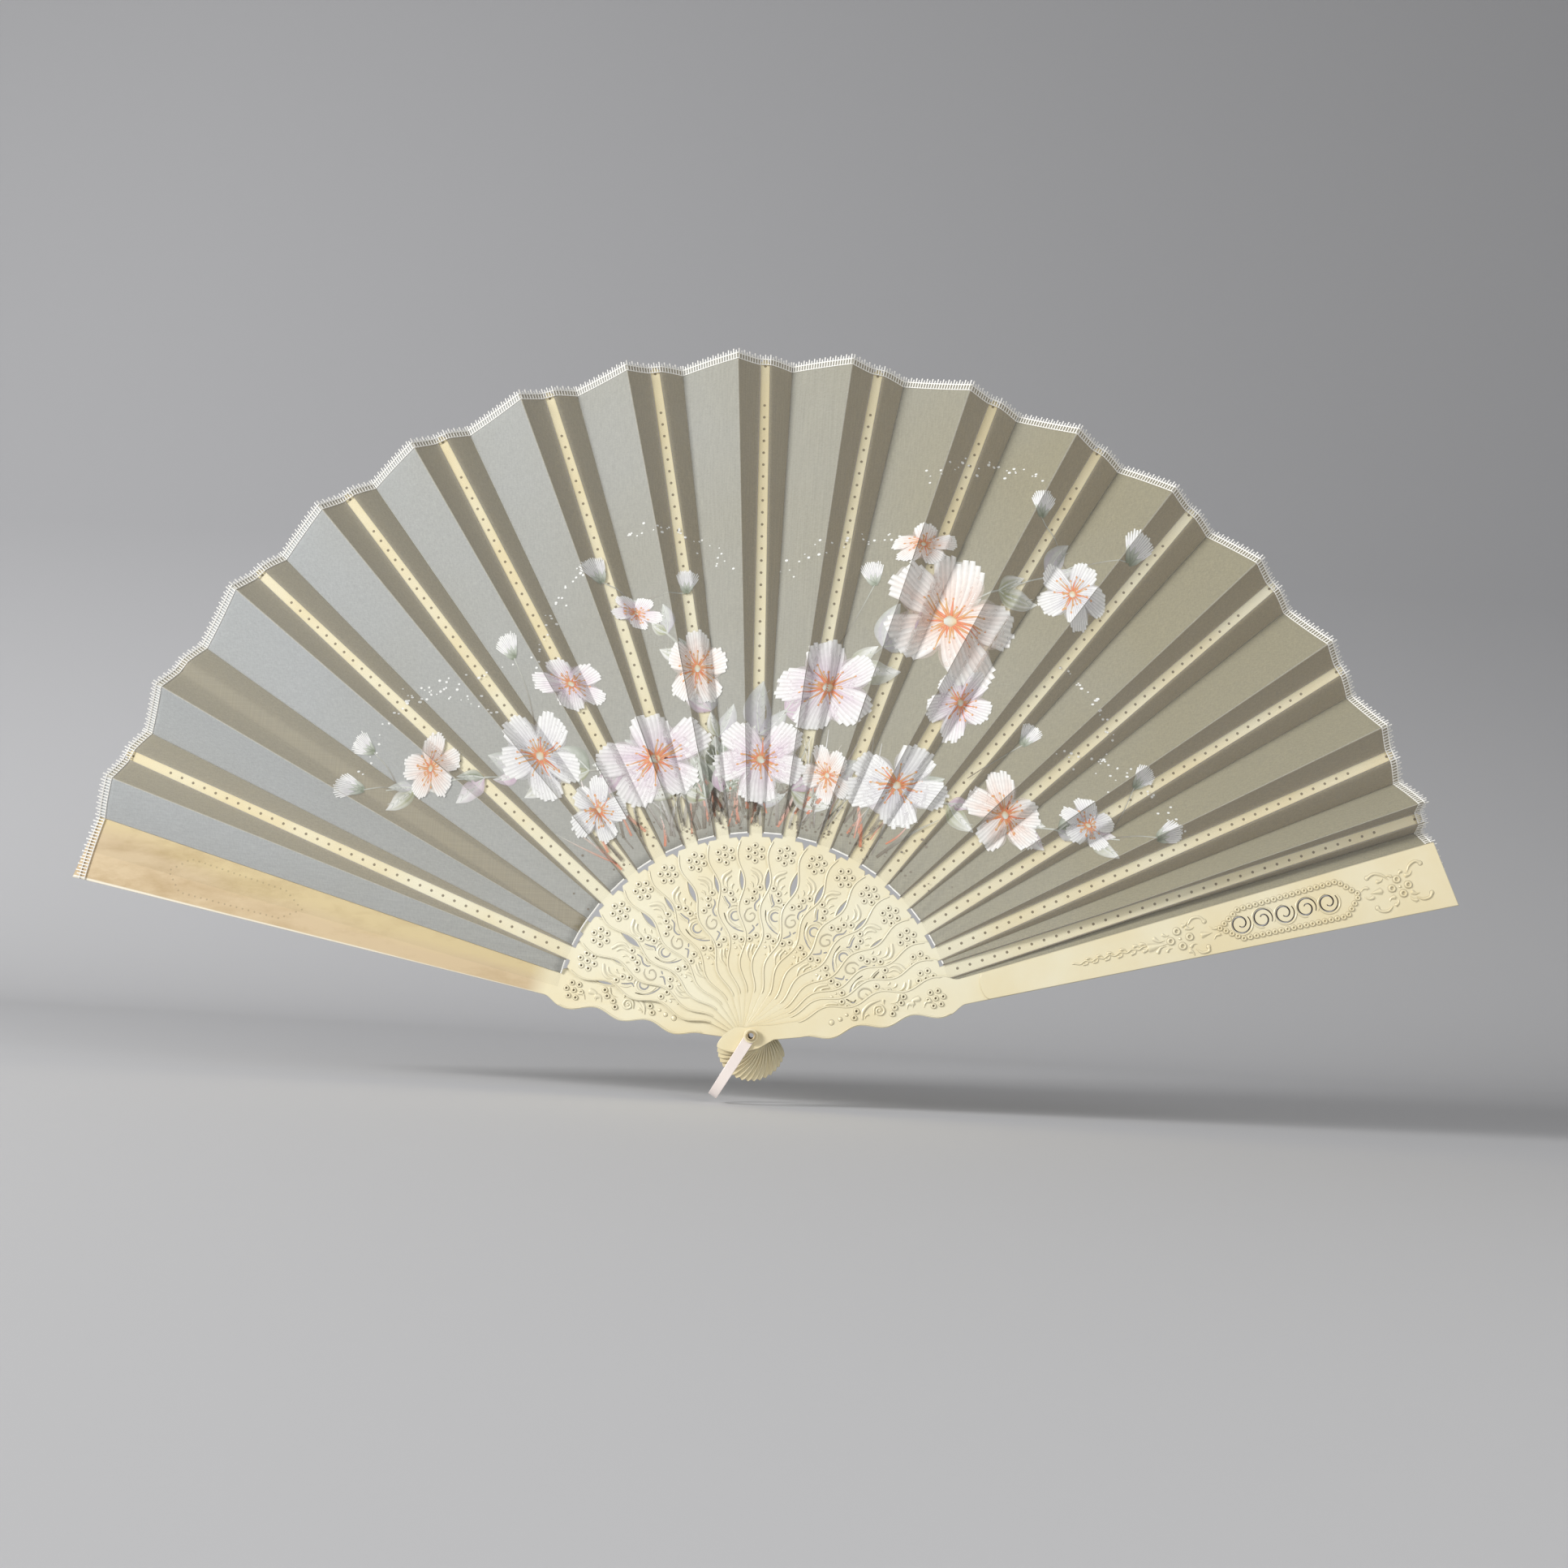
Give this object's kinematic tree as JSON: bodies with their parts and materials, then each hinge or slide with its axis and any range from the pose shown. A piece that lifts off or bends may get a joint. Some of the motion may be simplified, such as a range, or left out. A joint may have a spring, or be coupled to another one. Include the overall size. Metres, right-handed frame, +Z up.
{
  "type": "folding fan",
  "caption": "Folding hand fan with a pleated gauze leaf on pierced sticks that pivot on one rivet, wider decorated guards, a scallop-shell foot and a swinging strip bail.",
  "frame": {"origin": "middle of the rivet, halfway through the pack of sticks", "axes": "+X towards the front guard's side along the open fan's span, +Z up the middle sticks, +Y away from the viewer, through the pack"},
  "size_m": [0.6893, 0.0321, 0.3805],
  "materials": {
    "celluloid": "polished cream celluloid",
    "gauze": "thin sheer gauze, painted and edged with stitched lace",
    "bail": "pinkish white celluloid strip",
    "rivet": "dull hollow rivet"
  },
  "bodies": {
    "rear": {"rear_guard": "celluloid", "leaf_rear": "gauze", "rivet": "rivet", "washer_rear": "celluloid", "washer_front": "celluloid"},
    "front": {"front_guard": "celluloid", "leaf_front": "gauze"},
    "stick_01": {"stick_01": "celluloid", "leaf_d01": "gauze"},
    "stick_02": {"stick_02": "celluloid", "leaf_d02": "gauze"},
    "stick_03": {"stick_03": "celluloid", "leaf_d03": "gauze"},
    "stick_04": {"stick_04": "celluloid", "leaf_d04": "gauze"},
    "stick_05": {"stick_05": "celluloid", "leaf_d05": "gauze"},
    "stick_06": {"stick_06": "celluloid", "leaf_d06": "gauze"},
    "stick_07": {"stick_07": "celluloid", "leaf_d07": "gauze"},
    "stick_08": {"stick_08": "celluloid", "leaf_d08": "gauze"},
    "stick_09": {"stick_09": "celluloid", "leaf_d09": "gauze"},
    "stick_10": {"stick_10": "celluloid", "leaf_d10": "gauze"},
    "stick_11": {"stick_11": "celluloid", "leaf_d11": "gauze"},
    "stick_12": {"stick_12": "celluloid", "leaf_d12": "gauze"},
    "stick_13": {"stick_13": "celluloid", "leaf_d13": "gauze"},
    "stick_14": {"stick_14": "celluloid", "leaf_d14": "gauze"},
    "stick_15": {"stick_15": "celluloid", "leaf_d15": "gauze"},
    "stick_16": {"stick_16": "celluloid", "leaf_d16": "gauze"},
    "fold_00": {"leaf_l00": "gauze"},
    "fold_01": {"leaf_l01": "gauze"},
    "fold_02": {"leaf_l02": "gauze"},
    "fold_03": {"leaf_l03": "gauze"},
    "fold_04": {"leaf_l04": "gauze"},
    "fold_05": {"leaf_l05": "gauze"},
    "fold_06": {"leaf_l06": "gauze"},
    "fold_07": {"leaf_l07": "gauze"},
    "fold_08": {"leaf_l08": "gauze"},
    "fold_09": {"leaf_l09": "gauze"},
    "fold_10": {"leaf_l10": "gauze"},
    "fold_11": {"leaf_l11": "gauze"},
    "fold_12": {"leaf_l12": "gauze"},
    "fold_13": {"leaf_l13": "gauze"},
    "fold_14": {"leaf_l14": "gauze"},
    "fold_15": {"leaf_l15": "gauze"},
    "fold_16": {"leaf_l16": "gauze"},
    "bail": {"bail": "bail"}
  },
  "joints": [
    {"name": "closing", "type": "hinge", "parent": "rear", "child": "front", "pos_m": [0, 0, 0], "axis": [0, -1, 0], "range_deg": [0, 150.3], "deforming": ["leaf_d01", "leaf_d02", "leaf_d03", "leaf_d04", "leaf_d05", "leaf_d06", "leaf_d07", "leaf_d08", "leaf_d09", "leaf_d10", "leaf_d11", "leaf_d12", "leaf_d13", "leaf_d14", "leaf_d15", "leaf_d16", "leaf_l00", "leaf_l01", "leaf_l02", "leaf_l03", "leaf_l04", "leaf_l05", "leaf_l06", "leaf_l07", "leaf_l08", "leaf_l09", "leaf_l10", "leaf_l11", "leaf_l12", "leaf_l13", "leaf_l14", "leaf_l15", "leaf_l16"]},
    {"name": "stick_01_turn", "type": "hinge", "parent": "rear", "child": "stick_01", "pos_m": [0, 0, 0], "axis": [0, -1, 0], "range_deg": [0, 8]},
    {"name": "stick_02_turn", "type": "hinge", "parent": "rear", "child": "stick_02", "pos_m": [0, 0, 0], "axis": [0, -1, 0], "range_deg": [0, 16.6]},
    {"name": "stick_03_turn", "type": "hinge", "parent": "rear", "child": "stick_03", "pos_m": [0, 0, 0], "axis": [0, -1, 0], "range_deg": [0, 26.8]},
    {"name": "stick_04_turn", "type": "hinge", "parent": "rear", "child": "stick_04", "pos_m": [0, 0, 0], "axis": [0, -1, 0], "range_deg": [0, 36.7]},
    {"name": "stick_05_turn", "type": "hinge", "parent": "rear", "child": "stick_05", "pos_m": [0, 0, 0], "axis": [0, -1, 0], "range_deg": [0, 46.1]},
    {"name": "stick_06_turn", "type": "hinge", "parent": "rear", "child": "stick_06", "pos_m": [0, 0, 0], "axis": [0, -1, 0], "range_deg": [0, 56.1]},
    {"name": "stick_07_turn", "type": "hinge", "parent": "rear", "child": "stick_07", "pos_m": [0, 0, 0], "axis": [0, -1, 0], "range_deg": [0, 65.5]},
    {"name": "stick_08_turn", "type": "hinge", "parent": "rear", "child": "stick_08", "pos_m": [0, 0, 0], "axis": [0, -1, 0], "range_deg": [0, 75.1]},
    {"name": "stick_09_turn", "type": "hinge", "parent": "rear", "child": "stick_09", "pos_m": [0, 0, 0], "axis": [0, -1, 0], "range_deg": [0, 84.9]},
    {"name": "stick_10_turn", "type": "hinge", "parent": "rear", "child": "stick_10", "pos_m": [0, 0, 0], "axis": [0, -1, 0], "range_deg": [0, 95.2]},
    {"name": "stick_11_turn", "type": "hinge", "parent": "rear", "child": "stick_11", "pos_m": [0, 0, 0], "axis": [0, -1, 0], "range_deg": [0, 105]},
    {"name": "stick_12_turn", "type": "hinge", "parent": "rear", "child": "stick_12", "pos_m": [0, 0, 0], "axis": [0, -1, 0], "range_deg": [0, 114.4]},
    {"name": "stick_13_turn", "type": "hinge", "parent": "rear", "child": "stick_13", "pos_m": [0, 0, 0], "axis": [0, -1, 0], "range_deg": [0, 123.6]},
    {"name": "stick_14_turn", "type": "hinge", "parent": "rear", "child": "stick_14", "pos_m": [0, 0, 0], "axis": [0, -1, 0], "range_deg": [0, 132.5]},
    {"name": "stick_15_turn", "type": "hinge", "parent": "rear", "child": "stick_15", "pos_m": [0, 0, 0], "axis": [0, -1, 0], "range_deg": [0, 140.6]},
    {"name": "stick_16_turn", "type": "hinge", "parent": "rear", "child": "stick_16", "pos_m": [0, 0, 0], "axis": [0, -1, 0], "range_deg": [0, 146.2]},
    {"name": "fold_00_turn", "type": "hinge", "parent": "rear", "child": "fold_00", "pos_m": [-0.09672, 0.00785, 0.02461], "axis": [0.9652, 0, -0.2615], "range_deg": [0, 152.91]},
    {"name": "fold_01_turn", "type": "hinge", "parent": "stick_01", "child": "fold_01", "pos_m": [-0.09195, 0.00649, 0.03881], "axis": [0.9223, -0.0166, -0.386], "range_deg": [0, 141.94]},
    {"name": "fold_02_turn", "type": "hinge", "parent": "stick_02", "child": "fold_02", "pos_m": [-0.0851, 0.00554, 0.05214], "axis": [0.8492, -0.0146, -0.5278], "range_deg": [0, 150.92]},
    {"name": "fold_03_turn", "type": "hinge", "parent": "stick_03", "child": "fold_03", "pos_m": [-0.07452, 0.00459, 0.06638], "axis": [0.7435, -0.0149, -0.6685], "range_deg": [0, 149.54]},
    {"name": "fold_04_turn", "type": "hinge", "parent": "stick_04", "child": "fold_04", "pos_m": [-0.06201, 0.00364, 0.0782], "axis": [0.6199, -0.0155, -0.7845], "range_deg": [0, 146.96]},
    {"name": "fold_05_turn", "type": "hinge", "parent": "stick_05", "child": "fold_05", "pos_m": [-0.0484, 0.00269, 0.08729], "axis": [0.4803, -0.0148, -0.877], "range_deg": [0, 150.01]},
    {"name": "fold_06_turn", "type": "hinge", "parent": "stick_06", "child": "fold_06", "pos_m": [-0.03251, 0.00174, 0.09436], "axis": [0.3241, -0.0155, -0.9459], "range_deg": [0, 146.96]},
    {"name": "fold_07_turn", "type": "hinge", "parent": "stick_07", "child": "fold_07", "pos_m": [-0.01666, 0.00079, 0.0984], "axis": [0.1641, -0.0153, -0.9863], "range_deg": [0, 148.04]},
    {"name": "fold_08_turn", "type": "hinge", "parent": "stick_08", "child": "fold_08", "pos_m": [-0.00001, -0.00016, 0.0998], "axis": [-0.0039, -0.0151, -0.9999], "range_deg": [0, 149.05]},
    {"name": "fold_09_turn", "type": "hinge", "parent": "stick_09", "child": "fold_09", "pos_m": [0.01698, -0.00111, 0.09835], "axis": [-0.177, -0.0146, -0.9841], "range_deg": [0, 151.35]},
    {"name": "fold_10_turn", "type": "hinge", "parent": "stick_10", "child": "fold_10", "pos_m": [0.03429, -0.00206, 0.09373], "axis": [-0.3473, -0.0151, -0.9376], "range_deg": [0, 149.05]},
    {"name": "fold_11_turn", "type": "hinge", "parent": "stick_11", "child": "fold_11", "pos_m": [0.04974, -0.00301, 0.08653], "axis": [-0.4997, -0.0155, -0.866], "range_deg": [0, 146.96]},
    {"name": "fold_12_turn", "type": "hinge", "parent": "stick_12", "child": "fold_12", "pos_m": [0.0632, -0.00396, 0.07724], "axis": [-0.6335, -0.0158, -0.7736], "range_deg": [0, 145.82]},
    {"name": "fold_13_turn", "type": "hinge", "parent": "stick_13", "child": "fold_13", "pos_m": [0.07473, -0.00491, 0.06615], "axis": [-0.7479, -0.0162, -0.6637], "range_deg": [0, 143.97]},
    {"name": "fold_14_turn", "type": "hinge", "parent": "stick_14", "child": "fold_14", "pos_m": [0.08406, -0.00586, 0.0538], "axis": [-0.839, -0.0173, -0.5439], "range_deg": [0, 138.11]},
    {"name": "fold_15_turn", "type": "hinge", "parent": "stick_15", "child": "fold_15", "pos_m": [0.09079, -0.00681, 0.04145], "axis": [-0.9063, -0.0173, -0.4224], "range_deg": [0, 125.13]},
    {"name": "fold_16_turn", "type": "hinge", "parent": "stick_16", "child": "fold_16", "pos_m": [0.09439, -0.00776, 0.03242], "axis": [-0.9329, -0.0173, -0.3597], "range_deg": [0, 126.47]},
    {"name": "bail_swing", "type": "hinge", "parent": "rear", "child": "bail", "pos_m": [0, 0, 0], "axis": [0, -1, 0], "range_deg": [-45, 105]}
  ],
  "couplings": [
    {"joint": "stick_01_turn", "follows": "closing", "ratio": 0.051896},
    {"joint": "stick_02_turn", "follows": "closing", "ratio": 0.10912},
    {"joint": "stick_03_turn", "follows": "closing", "ratio": 0.17698},
    {"joint": "stick_04_turn", "follows": "closing", "ratio": 0.24285},
    {"joint": "stick_05_turn", "follows": "closing", "ratio": 0.30539},
    {"joint": "stick_06_turn", "follows": "closing", "ratio": 0.37192},
    {"joint": "stick_07_turn", "follows": "closing", "ratio": 0.43446},
    {"joint": "stick_08_turn", "follows": "closing", "ratio": 0.49834},
    {"joint": "stick_09_turn", "follows": "closing", "ratio": 0.56354},
    {"joint": "stick_10_turn", "follows": "closing", "ratio": 0.63207},
    {"joint": "stick_11_turn", "follows": "closing", "ratio": 0.69727},
    {"joint": "stick_12_turn", "follows": "closing", "ratio": 0.75981},
    {"joint": "stick_13_turn", "follows": "closing", "ratio": 0.82103},
    {"joint": "stick_14_turn", "follows": "closing", "ratio": 0.88024},
    {"joint": "stick_15_turn", "follows": "closing", "ratio": 0.93413},
    {"joint": "stick_16_turn", "follows": "closing", "ratio": 0.97139},
    {"joint": "fold_00_turn", "follows": "closing", "ratio": 1.016},
    {"joint": "fold_01_turn", "follows": "closing", "ratio": 0.94307},
    {"joint": "fold_02_turn", "follows": "closing", "ratio": 1.0028},
    {"joint": "fold_03_turn", "follows": "closing", "ratio": 0.9936},
    {"joint": "fold_04_turn", "follows": "closing", "ratio": 0.97644},
    {"joint": "fold_05_turn", "follows": "closing", "ratio": 0.99675},
    {"joint": "fold_06_turn", "follows": "closing", "ratio": 0.97644},
    {"joint": "fold_07_turn", "follows": "closing", "ratio": 0.9836},
    {"joint": "fold_08_turn", "follows": "closing", "ratio": 0.99036},
    {"joint": "fold_09_turn", "follows": "closing", "ratio": 1.0057},
    {"joint": "fold_10_turn", "follows": "closing", "ratio": 0.99036},
    {"joint": "fold_11_turn", "follows": "closing", "ratio": 0.97644},
    {"joint": "fold_12_turn", "follows": "closing", "ratio": 0.96884},
    {"joint": "fold_13_turn", "follows": "closing", "ratio": 0.95655},
    {"joint": "fold_14_turn", "follows": "closing", "ratio": 0.91759},
    {"joint": "fold_15_turn", "follows": "closing", "ratio": 0.83119},
    {"joint": "fold_16_turn", "follows": "closing", "ratio": 0.84013}
  ]
}
